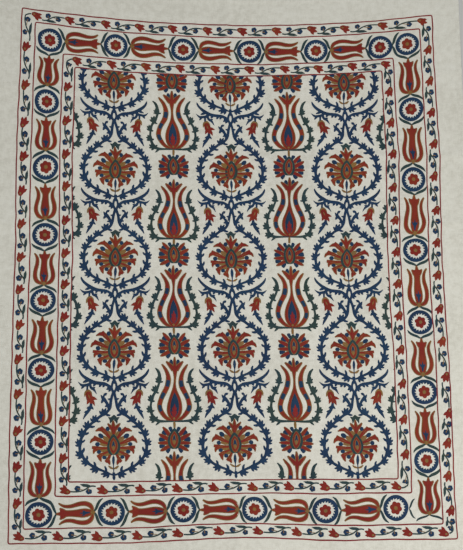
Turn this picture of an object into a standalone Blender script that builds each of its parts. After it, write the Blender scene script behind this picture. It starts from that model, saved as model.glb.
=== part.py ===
"""An embroidered cotton cover laid out flat: its ground cloth, one sheet with a turned hem.

The sheet lies face up on the floor. Its head edge was pulled up at the corners, its sides lean
a little, and the creases it was stored in stand up as soft ridges. Its shape is worked out from
a flat rectangular cut, which lay() places on the floor as the cloth was left to lie.

Units are metres. +X is to the right, +Y is towards the head of the cover, +Z is up.
The origin is on the floor, under the middle of the sheet.
"""

import math

import bmesh
import bpy
from mathutils import Vector

# Outline
HALF_WIDTH = 0.868          # middle of the cut to its side edges
HALF_LENGTH = 1.032         # middle of the cut to its head and foot edges
HEAD_PULL = 0.073           # how far the head corners were pulled up
PULL_START = 0.28           # the pull begins this far above the middle of the cut
PULL_SLACK = 0.12           # share of the pull by which the middle of the head hangs down instead
CORNER_LIFT = 0.010         # left corners lie this much further up than the middle, right ones down
SIDE_LEAN = 0.0035          # the head lies this much further left than the middle, the foot right
SIDE_BOW = 0.005            # both sides bow to the left by this much at mid length
FOOT_RISE = 0.016           # the foot edge rises this much at its middle
FOOT_RISE_REACH = 0.37      # half the length of edge that rises
FOOT_RISE_DEPTH = 0.40      # how far up the sheet the rise dies out

# Cloth
CLOTH_THICKNESS = 0.0016
HEM_THICKNESS = 0.0026      # the turned edge is two layers
HEM_WIDTH = 0.014
HEM_STEP = 0.003            # width over which the hem steps down to the single layer

# Creases that run across the sheet, from the head down
#           name             y       height   half_width  from_x  to_x
CROSS_CREASES = (
    ("right shoulder", 0.705, 0.0022, 0.034, 0.40, 1.10),
    ("left shoulder", 0.640, 0.0028, 0.034, -1.10, -0.25),
    ("upper fold", 0.412, 0.0040, 0.036, -0.10, 1.10),
    ("middle fold", 0.176, 0.0034, 0.034, -1.10, 1.10),
    ("right pinch", 0.042, 0.0040, 0.028, 0.72, 1.10),
)
CREASE_FADE = 0.16          # length over which a crease dies out at its ends

# The long crease down the middle, where the cover was folded in half
CENTRE_HEIGHT = 0.0038
CENTRE_HALF_WIDTH = 0.036
CENTRE_DRIFT = 0.010        # it leans this much to the left at the head, and the foot to the right

# Grid
GRID_STEP = 0.080           # largest spacing of the grid lines
CREASE_SHOULDER = 0.36      # a ridge's inner grid lines, as a share of its half width
MIN_STEP = 0.008            # grid lines closer than this are merged


def smooth(value):
    """0 to 1 with flat ends."""
    value = min(1.0, max(0.0, value))
    return value * value * (3.0 - 2.0 * value)


def ridge(distance, half_width):
    """Height of a soft ridge, 1 at its crest and 0 from its half width on."""
    share = min(1.0, abs(distance) / half_width)
    return (1.0 - share) ** 2 * (1.0 + 0.6 * share)


def head_pull(x, y):
    """How far a point near the head was drawn up: most at the corners, down in the middle."""
    reach = max(0.0, (y - PULL_START) / (HALF_LENGTH - PULL_START))
    return HEAD_PULL * math.sin(reach * math.pi / 2.0) * ((x / HALF_WIDTH) ** 2 - PULL_SLACK)


def foot_rise(x, y):
    """How far the middle of the foot edge is drawn up."""
    near = smooth((-y - HALF_LENGTH + FOOT_RISE_DEPTH) / FOOT_RISE_DEPTH)
    return FOOT_RISE * near * smooth(1.0 - abs(x) / FOOT_RISE_REACH)


def lay(x, y):
    """Where a point of the flat rectangular cut lies on the floor, seen from above."""
    across = x / HALF_WIDTH
    along = y / HALF_LENGTH
    middle = 1.0 - abs(across)
    lean = -SIDE_LEAN * along - SIDE_BOW * (1.0 - along ** 2)
    drift = -CENTRE_DRIFT * along * middle
    slant = -CORNER_LIFT * across * along ** 2
    return (x + lean + drift,
            y + slant + head_pull(x, y) + foot_rise(x, y))


def lift(x, y):
    """Height of the underside above the floor, from the creases."""
    height = CENTRE_HEIGHT * ridge(x, CENTRE_HALF_WIDTH)
    for _name, crease_y, crease_height, half_width, from_x, to_x in CROSS_CREASES:
        inside = smooth((x - from_x) / CREASE_FADE) * smooth((to_x - x) / CREASE_FADE)
        height = max(height, crease_height * inside * ridge(y - crease_y, half_width))
    return height


def thickness(x, y):
    """One layer of cloth, two along the hem."""
    inset = min(HALF_WIDTH - abs(x), HALF_LENGTH - abs(y))
    step = smooth((HEM_WIDTH + HEM_STEP - inset) / HEM_STEP)
    return CLOTH_THICKNESS + (HEM_THICKNESS - CLOTH_THICKNESS) * step


def grid_lines(half_span, creases):
    """Positions of the grid lines along one side: the hem, each crease, and an even fill."""
    lines = []
    for inset in (0.0, HEM_WIDTH, HEM_WIDTH + HEM_STEP):
        lines += [inset - half_span, half_span - inset]
    for position, half_width in creases:
        for share in (-1.0, -CREASE_SHOULDER, 0.0, CREASE_SHOULDER, 1.0):
            place = position + share * half_width
            if all(abs(place - other) > MIN_STEP for other in lines):
                lines.append(place)
    lines.sort()
    filled = [lines[0]]
    for place in lines[1:]:
        gap = place - filled[-1]
        parts = math.ceil(gap / GRID_STEP)
        filled += [filled[-1] + gap * (step + 1) / parts for step in range(parts)]
    return filled


def make_cloth_material():
    """Undyed cotton, off-white and dull."""
    material = bpy.data.materials.new("undyed_cotton")
    material.use_nodes = True
    shader = material.node_tree.nodes["Principled BSDF"]
    shader.inputs["Base Color"].default_value = (0.60, 0.57, 0.49, 1.0)
    shader.inputs["Roughness"].default_value = 0.92
    shader.inputs["Metallic"].default_value = 0.0
    material.diffuse_color = (0.60, 0.57, 0.49, 1.0)
    return material


def make_ground_cloth():
    """The sheet: an upper and a lower skin on one grid, closed along the four edges."""
    columns = grid_lines(HALF_WIDTH, [(0.0, CENTRE_HALF_WIDTH)])
    rows = grid_lines(HALF_LENGTH, [(crease[1], crease[3]) for crease in CROSS_CREASES])
    sheet = bmesh.new()
    lower = []
    upper = []
    for y in rows:
        lower_row = []
        upper_row = []
        for x in columns:
            plan_x, plan_y = lay(x, y)
            floor_gap = lift(x, y)
            lower_row.append(sheet.verts.new((plan_x, plan_y, floor_gap)))
            upper_row.append(sheet.verts.new((plan_x, plan_y, floor_gap + thickness(x, y))))
        lower.append(lower_row)
        upper.append(upper_row)
    last_row = len(rows) - 1
    last_column = len(columns) - 1
    for j in range(last_row):
        for i in range(last_column):
            sheet.faces.new((upper[j][i], upper[j][i + 1], upper[j + 1][i + 1], upper[j + 1][i]))
            sheet.faces.new((lower[j][i], lower[j + 1][i], lower[j + 1][i + 1], lower[j][i + 1]))
    for i in range(last_column):
        sheet.faces.new((lower[0][i], lower[0][i + 1], upper[0][i + 1], upper[0][i]))
        sheet.faces.new((lower[-1][i + 1], lower[-1][i], upper[-1][i], upper[-1][i + 1]))
    for j in range(last_row):
        sheet.faces.new((lower[j + 1][0], lower[j][0], upper[j][0], upper[j + 1][0]))
        sheet.faces.new((lower[j][-1], lower[j + 1][-1], upper[j + 1][-1], upper[j][-1]))
    centre_on_floor(sheet)
    mesh = bpy.data.meshes.new("ground_cloth")
    sheet.to_mesh(mesh)
    sheet.free()
    mesh.shade_smooth()
    mesh.set_sharp_from_angle(angle=math.radians(40.0))
    mesh.materials.append(make_cloth_material())
    return bpy.data.objects.new("ground_cloth", mesh)


def centre_on_floor(sheet):
    """Move the sheet so that the origin is under the middle of its outline."""
    xs = [vert.co.x for vert in sheet.verts]
    ys = [vert.co.y for vert in sheet.verts]
    middle = Vector(((min(xs) + max(xs)) / 2.0, (min(ys) + max(ys)) / 2.0, 0.0))
    bmesh.ops.translate(sheet, verts=sheet.verts, vec=-middle)


def clear_scene():
    for item in list(bpy.data.objects):
        bpy.data.objects.remove(item, do_unlink=True)


def main():
    clear_scene()
    bpy.context.scene.collection.objects.link(make_ground_cloth())


main()
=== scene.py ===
# %% [markdown]
# # An embroidered cover, laid out flat
#
# The piece is a suzani: a large cotton cover, worked all over with chain stitch and filling stitch
# in a few strong thread colours, and then spread face up on a floor. The real one is made in two
# steps: a plain cloth is cut and hemmed, and then the pattern is drawn on it and filled with thread.
# This file follows the same order. The cloth comes first, then each motif is drawn once in flat
# coordinates, and last the motifs are set out on the cloth and pressed onto its folds.

# %% The imported frame
import math

import bmesh
import bpy
import numpy as np
from mathutils import Matrix, Vector


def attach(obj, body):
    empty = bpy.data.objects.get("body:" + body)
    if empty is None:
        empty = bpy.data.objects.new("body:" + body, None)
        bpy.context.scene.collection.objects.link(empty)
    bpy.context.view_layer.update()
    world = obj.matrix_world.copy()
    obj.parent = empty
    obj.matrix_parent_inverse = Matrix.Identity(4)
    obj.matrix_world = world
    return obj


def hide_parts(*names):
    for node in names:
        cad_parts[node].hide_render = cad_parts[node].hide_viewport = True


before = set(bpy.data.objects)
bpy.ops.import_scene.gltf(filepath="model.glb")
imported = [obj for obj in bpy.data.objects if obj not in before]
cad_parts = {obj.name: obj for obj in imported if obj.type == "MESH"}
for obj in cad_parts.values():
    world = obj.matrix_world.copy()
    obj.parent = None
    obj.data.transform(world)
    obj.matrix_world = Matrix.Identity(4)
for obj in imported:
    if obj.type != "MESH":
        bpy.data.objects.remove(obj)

scene = bpy.context.scene
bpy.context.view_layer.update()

# %% [markdown]
# ## The camera
#
# The cover was photographed by someone standing at its foot and holding the camera over it, a
# little off the vertical. A camera could be aimed with a Track To constraint, but three turns, one
# about each axis, say plainly how far off the vertical it was held, so they are used here.

# %% Camera over the cover
CAMERA_PLACE = Vector((-0.080, -0.266, 2.164))
#   axis, and degrees: towards the head of the cover, towards one side, about the line of sight
CAMERA_TURNS = (("X", 5.83), ("Y", -2.03), ("Z", -0.31))
LENS = 40.0                 # millimetres
SENSOR = 36.0               # millimetres, its longer side
NEAREST = 0.05              # metres from the camera at which its view begins
FURTHEST = 50.0             # and ends


def add_camera():
    data = bpy.data.cameras.new("camera")
    data.lens = LENS
    data.sensor_width = SENSOR
    data.clip_start = NEAREST
    data.clip_end = FURTHEST
    camera = bpy.data.objects.new("camera", data)
    held = Matrix.Translation(CAMERA_PLACE)
    for axis, degrees in CAMERA_TURNS:
        held = held @ Matrix.Rotation(math.radians(degrees), 4, axis)
    camera.matrix_world = held
    scene.collection.objects.link(camera)
    scene.camera = camera


add_camera()
print("camera height:", CAMERA_PLACE.z, "m")

# %% [markdown]
# ## Light and floor
#
# A flat textile wants broad light from above, or its weave and its raised thread disappear. One
# large area light does most of the work. It stands to one side, nearer the foot, so that the cover
# grows brighter towards that corner as cloth beside a window does, and so that each fold keeps a
# lit and a shaded flank. An even world colour fills the shadows.

# %% Light, floor and tone
WINDOW_PLACE = Vector((1.55, -1.45, 1.75))
WINDOW_AIM = Vector((0.10, 0.05, 0.0))
WINDOW_SIZE = 1.9
WINDOW_POWER = 24.0
CEILING_HEIGHT = 3.6
CEILING_SIZE = 4.5
CEILING_POWER = 84.0
WORLD_COLOUR = (0.93, 0.97, 1.0)
WORLD_STRENGTH = 0.40
WINDOW_COLOUR = (1.0, 0.97, 0.92)
CEILING_COLOUR = (1.0, 0.99, 0.96)
FLOOR_SIZE = 14.0
FLOOR_COLOUR = (0.46, 0.455, 0.44)
FLOOR_ROUGHNESS = 0.85
FLOOR_DROP = 0.0006         # keeps the floor clear of the cloth's underside


def add_area_light(name, place, aim, size, power, colour):
    data = bpy.data.lights.new(name, "AREA")
    data.shape = "SQUARE"
    data.size = size
    data.energy = power
    data.color = colour
    light = bpy.data.objects.new(name, data)
    light.location = place
    light.rotation_mode = "QUATERNION"
    light.rotation_quaternion = (aim - place).to_track_quat("-Z", "Y")
    scene.collection.objects.link(light)


def add_world():
    world = bpy.data.worlds.new("room")
    world.use_nodes = True
    background = world.node_tree.nodes["Background"]
    background.inputs["Color"].default_value = (*WORLD_COLOUR, 1.0)
    background.inputs["Strength"].default_value = WORLD_STRENGTH
    scene.world = world


def add_floor():
    mesh = bpy.data.meshes.new("floor")
    half = FLOOR_SIZE / 2.0
    corners = [(-half, -half, 0.0), (half, -half, 0.0), (half, half, 0.0), (-half, half, 0.0)]
    mesh.from_pydata(corners, [], [(0, 1, 2, 3)])
    material = bpy.data.materials.new("pale_floor")
    material.use_nodes = True
    shader = material.node_tree.nodes["Principled BSDF"]
    shader.inputs["Base Color"].default_value = (*FLOOR_COLOUR, 1.0)
    shader.inputs["Roughness"].default_value = FLOOR_ROUGHNESS
    mesh.materials.append(material)
    floor = bpy.data.objects.new("floor", mesh)
    floor.location.z = -FLOOR_DROP
    scene.collection.objects.link(floor)


add_area_light("window", WINDOW_PLACE, WINDOW_AIM, WINDOW_SIZE, WINDOW_POWER, WINDOW_COLOUR)
add_area_light("ceiling", Vector((0.0, 0.0, CEILING_HEIGHT)), Vector((0.0, 0.0, 0.0)),
               CEILING_SIZE, CEILING_POWER, CEILING_COLOUR)
add_world()
add_floor()
scene.view_settings.view_transform = "Standard"

# %% [markdown]
# ## How the cloth lies
#
# The cover was cut as a rectangle, but it isn't one on the floor: its head corners were pulled up,
# its sides lean, and its foot rises in the middle. A cloth simulation could wrinkle a rectangle,
# but it would not put the folds where they are. So `lay` says where each point of the flat cut
# lies on the floor, and `lift` how high the creases of its storage folds stand. Everything sewn on
# the cloth is drawn in the flat cut's coordinates and goes through the same two functions, so the
# pattern bends with the cloth as the real thread does.

# %% Sizes of the sheet and its folds, in metres
HALF_WIDTH = 0.868          # middle of the cut to its side edges
HALF_LENGTH = 1.032         # middle of the cut to its head and foot edges
HEAD_PULL = 0.073           # how far the head corners were pulled up
PULL_START = 0.28           # the pull begins this far above the middle of the cut
PULL_SLACK = 0.12           # share of the pull by which the middle of the head hangs down instead
CORNER_LIFT = 0.010         # left corners lie this much further up than the middle, right ones down
SIDE_LEAN = 0.0035          # the head lies this much further left than the middle, the foot right
SIDE_BOW = 0.005            # both sides bow to the left by this much at mid length
FOOT_RISE = 0.016           # the foot edge rises this much at its middle
FOOT_RISE_REACH = 0.37      # half the length of edge that rises
FOOT_RISE_DEPTH = 0.40      # how far up the sheet the rise dies out
CLOTH_THICKNESS = 0.0016
HEM_THICKNESS = 0.0026      # the turned edge is two layers
HEM_WIDTH = 0.014
HEM_STEP = 0.003            # width over which the hem steps down to the single layer
#    name             y       height   half_width  from_x  to_x
CROSS_CREASES = (
    ("right shoulder", 0.705, 0.0022, 0.034, 0.40, 1.10),
    ("left shoulder", 0.640, 0.0028, 0.034, -1.10, -0.25),
    ("upper fold", 0.412, 0.0040, 0.036, -0.10, 1.10),
    ("middle fold", 0.176, 0.0034, 0.034, -1.10, 1.10),
    ("right pinch", 0.042, 0.0040, 0.028, 0.72, 1.10),
)
CREASE_FADE = 0.16          # length over which a crease dies out at its ends
CENTRE_HEIGHT = 0.0038      # the long crease, where the cover was folded in half
CENTRE_HALF_WIDTH = 0.036
CENTRE_DRIFT = 0.010        # it leans this much to the left at the head, and the foot to the right
RIPPLE_HEIGHT = 0.0007      # the stitching draws the cloth into faint ripples
EDGE_ROUND = 0.0013         # radius of the folded edge
MM = 0.001


# %% Where a point of the flat cut lies
def smooth(value):
    """0 to 1 with flat ends."""
    value = np.clip(value, 0.0, 1.0)
    return value * value * (3.0 - 2.0 * value)


def ridge(distance, half_width):
    """Height of a soft ridge, 1 at its crest and 0 from its half width on."""
    share = np.minimum(1.0, np.abs(distance) / half_width)
    return (1.0 - share) ** 2 * (1.0 + 0.6 * share)


def lay(x, y):
    """Where a point of the flat rectangular cut lies on the floor, before the sheet is centred."""
    across = x / HALF_WIDTH
    along = y / HALF_LENGTH
    middle = 1.0 - np.abs(across)
    lean = -SIDE_LEAN * along - SIDE_BOW * (1.0 - along ** 2)
    drift = -CENTRE_DRIFT * along * middle
    slant = -CORNER_LIFT * across * along ** 2
    reach = np.maximum(0.0, (y - PULL_START) / (HALF_LENGTH - PULL_START))
    head_pull = HEAD_PULL * np.sin(reach * math.pi / 2.0) * (across ** 2 - PULL_SLACK)
    near_foot = smooth((-y - HALF_LENGTH + FOOT_RISE_DEPTH) / FOOT_RISE_DEPTH)
    foot_rise = FOOT_RISE * near_foot * smooth(1.0 - np.abs(x) / FOOT_RISE_REACH)
    return x + lean + drift, y + slant + head_pull + foot_rise


def lift(x, y):
    """Height of the underside above the floor, from the creases."""
    height = CENTRE_HEIGHT * ridge(x, CENTRE_HALF_WIDTH)
    for _name, crease_y, crease_height, half_width, from_x, to_x in CROSS_CREASES:
        inside = smooth((x - from_x) / CREASE_FADE) * smooth((to_x - x) / CREASE_FADE)
        height = np.maximum(height, crease_height * inside * ridge(y - crease_y, half_width))
    return height


def ripple(x, y):
    """Faint waves between the motifs, never below the floor."""
    waves = np.sin(31.0 * x + 1.3 * np.sin(17.0 * y)) * np.sin(27.0 * y + 1.1 * np.sin(21.0 * x))
    fine = np.sin(74.0 * x + 2.1 * np.sin(43.0 * y)) * np.sin(66.0 * y + 0.7)
    return RIPPLE_HEIGHT * (0.5 + 0.35 * waves + 0.15 * fine)


def thickness(x, y):
    """One layer of cloth, two along the hem, rounded off at the folded edge."""
    inset = np.minimum(HALF_WIDTH - np.abs(x), HALF_LENGTH - np.abs(y))
    step = smooth((HEM_WIDTH + HEM_STEP - inset) / HEM_STEP)
    full = CLOTH_THICKNESS + (HEM_THICKNESS - CLOTH_THICKNESS) * step
    inward = np.clip(inset / EDGE_ROUND, 0.0, 1.0)
    return full * (0.12 + 0.88 * np.sqrt(1.0 - (1.0 - inward) ** 2)), full


def centre_of_outline():
    """Middle of the laid outline's box, which goes over the origin."""
    side = np.linspace(-1.0, 1.0, 401)
    x = HALF_WIDTH * np.concatenate([side, side, np.ones(401), -np.ones(401)])
    y = HALF_LENGTH * np.concatenate([np.ones(401), -np.ones(401), side, side])
    plan_x, plan_y = lay(x, y)
    return (plan_x.min() + plan_x.max()) / 2.0, (plan_y.min() + plan_y.max()) / 2.0


MIDDLE_X, MIDDLE_Y = centre_of_outline()


def on_cloth(x, y, height):
    """A point of the flat cut, lifted by a height over the cloth's face, in the scene."""
    plan_x, plan_y = lay(x, y)
    rounded, full = thickness(x, y)
    face = lift(x, y) + ripple(x, y) + (full + rounded) / 2.0
    return np.column_stack([plan_x - MIDDLE_X, plan_y - MIDDLE_Y, face + height])


print("middle of the outline:", round(MIDDLE_X, 4), round(MIDDLE_Y, 4))

# %% [markdown]
# ## The ground cloth
#
# The cloth is one sheet with a turned hem. A plane with a Solidify modifier would give its
# thickness, but not the thicker hem, so the sheet is built as two skins on one grid, closed round
# the edge. The grid has extra lines at the hem and on each crest, because a crease that runs
# between two grid lines is lost.

# %% Grid lines of the cloth
CLOTH_STEP = 0.0105         # largest spacing of the grid lines


def grid_lines(half_span, crests):
    """Positions of the grid lines along one side: the rounded edge, the hem, each crest, a fill."""
    insets = (0.0, 0.3 * EDGE_ROUND, EDGE_ROUND, HEM_WIDTH, HEM_WIDTH + HEM_STEP)
    lines = sorted([inset - half_span for inset in insets] + list(crests)
                   + [half_span - inset for inset in insets])
    filled = [lines[0]]
    for place in lines[1:]:
        gap = place - filled[-1]
        parts = math.ceil(gap / CLOTH_STEP)
        filled += [filled[-1] + gap * (step + 1) / parts for step in range(parts)]
    return np.array(filled)


def make_cloth_mesh():
    columns = grid_lines(HALF_WIDTH, [0.0])
    rows = grid_lines(HALF_LENGTH, [crease[1] for crease in CROSS_CREASES])
    x, y = [part.ravel() for part in np.meshgrid(columns, rows)]
    rounded, full = thickness(x, y)
    upper = on_cloth(x, y, 0.0)
    lower = upper.copy()
    lower[:, 2] = lift(x, y) + ripple(x, y) * 0.5 + (full - rounded) / 2.0
    wide, high = len(columns), len(rows)
    index = np.arange(wide * high).reshape(high, wide)
    quads = np.stack([index[:-1, :-1], index[:-1, 1:], index[1:, 1:], index[1:, :-1]], -1)
    quads = quads.reshape(-1, 4)
    under = quads[:, ::-1] + wide * high
    rim = np.concatenate([index[0, :-1], index[:-1, -1], index[-1, :0:-1], index[:0:-1, 0]])
    ahead = np.roll(rim, -1)
    wall = np.stack([rim, rim + wide * high, ahead + wide * high, ahead], -1)
    mesh = bpy.data.meshes.new("cotton_ground")
    points = np.vstack([upper, lower])
    mesh.from_pydata(points.tolist(), [], np.vstack([quads, under, wall]).tolist())
    cut = np.column_stack([x, y]) / MM
    set_run(mesh, "cut", np.vstack([cut, cut]))
    mesh.shade_smooth()
    return mesh


def set_run(mesh, name, values):
    """A UV map from one pair of numbers for each point."""
    corners = np.empty(len(mesh.loops), dtype=np.int64)
    mesh.loops.foreach_get("vertex_index", corners)
    layer = mesh.uv_layers.new(name=name)
    layer.uv.foreach_set("vector", values[corners].astype(np.float32).ravel())


ground = bpy.data.objects.new("cotton_ground", make_cloth_mesh())
scene.collection.objects.link(ground)
print("ground cloth:", len(ground.data.polygons), "faces")

# %% [markdown]
# ## A sketch made of thread
#
# Each motif is filled with rows of stitches that follow its shape. The real thread can't be
# modelled strand by strand over a whole cover, and a flat colour would miss its relief. The way
# between is a band: a low, domed ribbon that follows a route, with a width for each of the
# route's points. Its surface also keeps how far along the route and how far off its middle each
# point is, and the thread's material draws the rows and links of the stitches from those two.
# Points are in millimetres from the motif's own middle, x to the right and y upwards.

# %% A smooth route through a few points
def route_through(points, widths, step, closed=False):
    """Places, left-hand directions, widths and distances along a smooth route."""
    both = np.column_stack([np.asarray(points, float), np.broadcast_to(widths, len(points))])
    if closed:
        ring = np.vstack([both[-1:], both, both[:2]])
    else:
        ring = np.vstack([2.0 * both[0] - both[1], both, 2.0 * both[-1] - both[-2]])
    parts = []
    for before, start, end, after in zip(ring, ring[1:], ring[2:], ring[3:]):
        count = max(1, math.ceil(math.dist(start[:2], end[:2]) / step))
        share = (np.arange(count) / count)[:, None]
        bend = 0.5 * (2.0 * start + (end - before) * share
                      + (2.0 * before - 5.0 * start + 4.0 * end - after) * share ** 2
                      + (3.0 * start - before - 3.0 * end + after) * share ** 3)
        bend[:, 2:] = start[2:] + (end[2:] - start[2:]) * share
        parts.append(bend)
    if not closed:
        parts.append(both[-1:])
    path = np.vstack(parts)
    places, spread = path[:, :2], np.maximum(path[:, 2], 0.15)
    around = np.vstack([places[-1:], places, places[:1]]) if closed else np.vstack(
        [2.0 * places[0] - places[1], places, 2.0 * places[-1] - places[-2]])
    forward = around[2:] - around[:-2]
    forward /= np.maximum(np.linalg.norm(forward, axis=1), 1e-9)[:, None]
    left = np.column_stack([-forward[:, 1], forward[:, 0]])
    hops = np.linalg.norm(np.diff(places, axis=0), axis=1)
    return places, left, spread, np.concatenate([[0.0], np.cumsum(hops)])


# %% The sketch: bands, dots and leaves, sorted by thread
STEP = 3.6                  # millimetres between the cross sections of a band
BEVEL = 0.8                 # millimetres over which the edge of a filling rises
DOME = np.array((0.0, 0.84, 1.0, 0.84, 0.0))
RELIEF = 0.50               # millimetres that a filled shape stands proud
LAYER = 0.34                # millimetres from one layer of thread to the next
SINK = 0.28                 # millimetres that the edge of a band goes under the layer below it
OUTLINE = 3.2               # millimetres of gold thread that show round a filled shape
EDGE_OUT = 0.7              # share of that gold outside the shape's own edge
EDGE_IN = 0.3               # and inside it
EDGE_RELIEF = 0.3           # millimetres that the gold stands proud
DOT_CORE = 0.45             # radius of a dot's inner ring, as a share of the dot's
DOT_DOME = (0.96, 0.80, 0.0)    # height of a dot's rings, from the inner one out
DOT_RUN = 0.7               # share of a ring's length that counts as run
MIDWAY = (0.0, 0.5, 1.0)


def heading(angle):
    """A step of length one in a direction, in radians from straight right."""
    return np.array((math.cos(angle), math.sin(angle)))


def turning(degrees):
    """The matrix that turns rows of x and y."""
    across, up = heading(math.radians(degrees))
    return np.array([[across, up], [-up, across]])


def on_the_way(start, tip, shares=MIDWAY):
    """Points on the straight way from one place to another."""
    start, tip = np.array(start, float), np.array(tip, float)
    return [start + (tip - start) * share for share in shares]


class Sketch:
    """Embroidery while it is still flat: for each thread its points, runs and faces."""

    def __init__(self):
        self.parts = {}

    def add(self, thread, points, runs, faces):
        self.parts.setdefault(thread, []).append((points, runs, faces))

    def band(self, thread, points, widths, layer=0, closed=False, step=STEP, relief=RELIEF):
        """A ribbon of stitches along a route, widths being half of what shows."""
        places, left, spread, run = route_through(points, widths, step, closed)
        inner = np.maximum(spread - BEVEL, 0.5 * spread)
        offsets = np.column_stack([-spread, -inner, 0.0 * spread, inner, spread])
        flat = places[:, None, :] + left[:, None, :] * offsets[:, :, None]
        rise = relief * np.minimum(1.0, spread / 2.0)
        if not closed:
            rise[0] = rise[-1] = 0.0
        height = layer * LAYER - SINK + np.outer(rise + SINK, DOME)
        cloud = np.dstack([flat, height]).reshape(-1, 3)
        runs = np.dstack([np.broadcast_to(run[:, None], offsets.shape), offsets]).reshape(-1, 2)
        wide, high = len(DOME), len(places)
        index = np.arange(high * wide).reshape(high, wide)
        nearer, further = (index, np.roll(index, -1, 0)) if closed else (index[:-1], index[1:])
        faces = np.stack([nearer[:, :-1], further[:, :-1], further[:, 1:], nearer[:, 1:]], -1)
        self.add(thread, cloud, runs, faces.reshape(-1, 4))

    def outlined(self, thread, points, widths, layer=0, outline=OUTLINE):
        """A band on a wider gold one, so that the outline straddles its edge."""
        widths = np.array(widths, float)
        self.band("gold", points, widths + EDGE_OUT * outline, layer, relief=EDGE_RELIEF)
        self.band(thread, points, widths - EDGE_IN * outline, layer + 1)

    def dot(self, thread, x, y, radius_x, radius_y=None, layer=0, lobes=0, depth=0.0, turn=0.0):
        """A small filled round, with lobes if asked."""
        radius_y = radius_y or radius_x
        spokes = 12 if lobes < 4 else 4 * lobes
        angle = np.arange(spokes) * 2.0 * math.pi / spokes
        reach = 1.0 - depth * (1.0 - np.abs(np.cos(0.5 * lobes * angle)))
        rings = np.array((DOT_CORE, 1.0 - BEVEL / max(radius_x, 2.0 * BEVEL), 1.0))
        shape = np.column_stack([radius_x * reach * np.cos(angle), radius_y * reach * np.sin(angle)])
        shape = shape @ turning(turn)
        flat = (shape[None] * rings[:, None, None]).reshape(-1, 2)
        level = layer * LAYER - SINK + (RELIEF + SINK) * np.repeat(DOT_DOME, spokes)
        cloud = np.column_stack([flat + (x, y), level])
        cloud = np.vstack([cloud, (x, y, layer * LAYER + RELIEF)])
        runs = np.column_stack([np.outer(rings, angle * radius_x * DOT_RUN).ravel(),
                                np.repeat(rings * radius_x, spokes)])
        runs = np.vstack([runs, (0.0, 0.0)])
        index = np.arange(3 * spokes).reshape(3, spokes)
        ahead = np.roll(index, -1, 1)
        faces = np.stack([index[:-1], index[1:], ahead[1:], ahead[:-1]], -1).reshape(-1, 4)
        pairs = index[0].reshape(-1, 2)
        middle = np.full(len(pairs), 3 * spokes)
        core = np.column_stack([middle, pairs[:, 0], pairs[:, 1], np.roll(pairs[:, 0], -1)])
        self.add(thread, cloud, runs, np.vstack([faces, core]))

    def lobe(self, thread, start, tip, half_width, layer=0, bow=0.0, blunt=0.15):
        """A short leaf or tooth, pointed or blunt."""
        start, tip = np.array(start, float), np.array(tip, float)
        way = tip - start
        middle = start + way * 0.5 + bow * np.array((-way[1], way[0]))
        self.band(thread, [start, middle, tip], half_width * np.array((1.0, 0.9, blunt)), layer,
                  step=max(2.0, np.hypot(*way) / 4.0))

    def moved(self, rule, flip=False):
        """A copy whose points went through a rule that takes and gives rows of x and y."""
        copy = Sketch()
        for thread, patches in self.parts.items():
            for cloud, runs, faces in patches:
                flat = np.column_stack([rule(cloud[:, :2]), cloud[:, 2]])
                copy.add(thread, flat, runs, faces[:, ::-1] if flip else faces)
        return copy

    def placed(self, x=0.0, y=0.0, turn=0.0, size=1.0, stretch=1.0, mirror=False):
        """A copy that is moved, turned, scaled, drawn out upwards or mirrored."""
        matrix = turning(turn)
        scales = size * np.array((-1.0 if mirror else 1.0, stretch))
        return self.moved(lambda flat: (flat * scales) @ matrix + (x, y), mirror)

    def join(self, *others):
        for other in others:
            for thread, patches in other.parts.items():
                self.parts.setdefault(thread, []).extend(patches)

    def both_sides(self):
        """The sketch and its mirror image."""
        whole = Sketch()
        whole.join(self, self.placed(mirror=True))
        return whole

    def packed(self, thread):
        """All patches of a thread as one set of arrays."""
        clouds, runs, faces, first = [], [], [], 0
        for cloud, run, face in self.parts[thread]:
            clouds.append(cloud)
            runs.append(run)
            faces.append(face + first)
            first += len(cloud)
        return np.vstack(clouds), np.vstack(runs), np.vstack(faces)

    def faces(self):
        return sum(len(face) for patches in self.parts.values() for _cloud, _run, face in patches)


# %% [markdown]
# ## The wreath's leafy vine
#
# The vines are narrow lines that swell every few centimetres into a small leaf: a broad palm with
# three blunt fingers on the vine's outer side, and one finger on its inner side. Drawing each leaf
# by hand would take hundreds of points, so `leafy` walks along the vine and sets the same palm and
# fingers at each distance in a list. The vine's own curve stays a list of a few points.

# %% A vine with leaves
#                along   out    half_width of each finger of a leaf
WREATH_FINGERS = ((15.0, 12.5, 4.8), (4.5, 18.5, 5.0), (-8.5, 16.5, 4.6), (14.0, -15.5, 5.0))
STEM_FINGERS = ((14.0, 9.0, 4.8), (6.0, 16.5, 4.8), (-5.0, 16.5, 4.6), (-5.0, -13.0, 4.4))
PALM = ((-11.0, 2.0, 2.4), (-4.5, 6.0, 6.2), (3.5, 7.0, 6.8), (10.0, 5.0, 3.2))
LEAF_SWELL = 2.0            # millimetres added to half the vine's width under a leaf
LEAF_REACH = 8.0            # length of that swelling to either side
FINGER_SWEEP = 4.0          # a finger's root lies this far behind the half-way point to its tip
FINGER_ROOT = 3.5           # millimetres from the vine's middle to a finger's root
FINGER_BOW = 0.10           # share of its length by which a finger curves
LEAF_VARIES = 0.07          # share by which the leaves differ in size


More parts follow.
